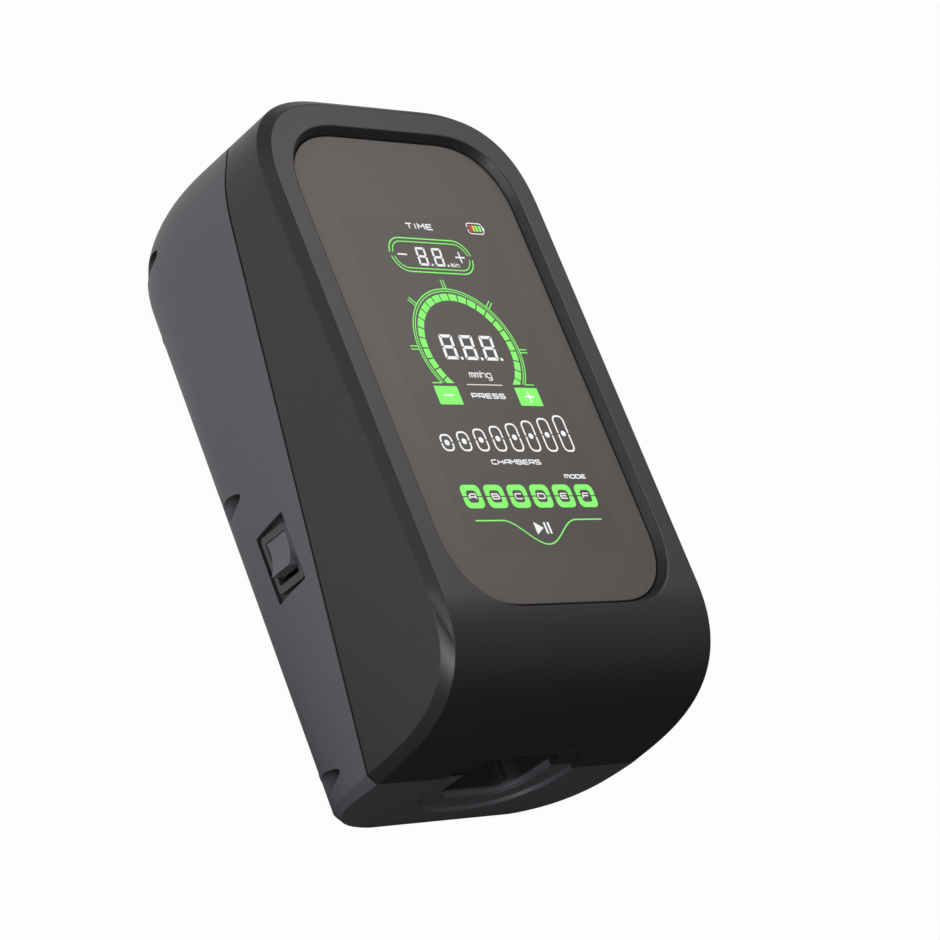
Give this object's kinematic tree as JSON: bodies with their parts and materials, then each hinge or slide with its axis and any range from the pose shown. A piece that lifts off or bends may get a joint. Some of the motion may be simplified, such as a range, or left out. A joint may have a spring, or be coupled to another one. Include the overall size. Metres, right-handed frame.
{
  "type": "compression therapy pump",
  "caption": "Portable compression therapy air pump with a touch screen in a moulded two-shell housing, a rocker power switch on its side and a multi-way hose socket in its end.",
  "frame": {"origin": "centre of the overall box, on the plane that the rubber feet stand on", "axes": "+Z out of the screen (the pump lies on its back), +Y up the screen towards the top end, +X to the screen's right; the hose socket faces -Y"},
  "size_m": [0.1221, 0.2164, 0.0905],
  "materials": {
    "front_plastic": "fine satin texture, near black",
    "rear_plastic": "fine satin texture, dark grey",
    "screen_glass": "grey-brown tinted cover glass",
    "panel_black": "dark display panel",
    "sheet_steel": "plain sheet",
    "flex_film": "amber film",
    "board_green": "solder mask",
    "chip_black": "moulded black",
    "white_plastic": "natural acetal",
    "cell_wrap": "shrink wrap",
    "inner_plastic": "glass-filled black",
    "motor_steel": "drawn steel",
    "grey_foam": "open-cell foam",
    "manifold_aluminium": "milled",
    "valve_steel": "zinc plated",
    "silicone_tube": "milky silicone",
    "socket_plastic": "satin black",
    "switch_plastic": "satin dark grey",
    "tinned_brass": "stamped",
    "screw_steel": "zinc plated",
    "black_rubber": "matte"
  },
  "bodies": {
    "housing": {"front_shell": "front_plastic", "rear_shell": "rear_plastic", "touch_glass": "screen_glass", "glass_gasket": "black_rubber", "lcd_panel": "panel_black", "lcd_bracket": "sheet_steel", "display_flex": "flex_film", "main_board": "board_green", "board_components": "chip_black", "buzzer": "chip_black", "pressure_sensors": "white_plastic", "battery_cells": "cell_wrap", "battery_tray": "inner_plastic", "pump_motor": "motor_steel", "pump_housing": "inner_plastic", "pump_cover": "inner_plastic", "pump_end_caps": "inner_plastic", "pump_bracket": "sheet_steel", "pump_dampers": "black_rubber", "intake_silencer": "grey_foam", "valve_manifold": "manifold_aluminium", "solenoid_valves": "valve_steel", "supply_tube": "silicone_tube", "outlet_tubes": "silicone_tube", "hose_socket": "socket_plastic", "socket_seal": "black_rubber", "switch_body": "switch_plastic", "switch_terminals": "tinned_brass", "charge_inlet": "socket_plastic", "inlet_nut": "screw_steel", "case_screws": "screw_steel", "board_screws": "screw_steel", "chassis_screws": "screw_steel", "rubber_feet": "black_rubber"},
    "rocker": {"switch_rocker": "switch_plastic"},
    "crank": {"pump_crank": "motor_steel"},
    "yoke": {"pump_yoke": "white_plastic", "pump_diaphragms": "black_rubber"}
  },
  "joints": [
    {"name": "power_rocker", "type": "hinge", "parent": "housing", "child": "rocker", "pos_m": [-0.05579, -0.02985, 0.0353], "axis": [0, 0, 1], "range_deg": [0, 28]},
    {"name": "pump_spin", "type": "hinge", "parent": "housing", "child": "crank", "pos_m": [0, -0.00025, 0.0333], "axis": [0, 1, 0], "continuous": true},
    {"name": "pump_stroke", "type": "slide", "parent": "housing", "child": "yoke", "axis": [1, 0, 0], "range_m": [-0.0015, 0.0015]}
  ]
}
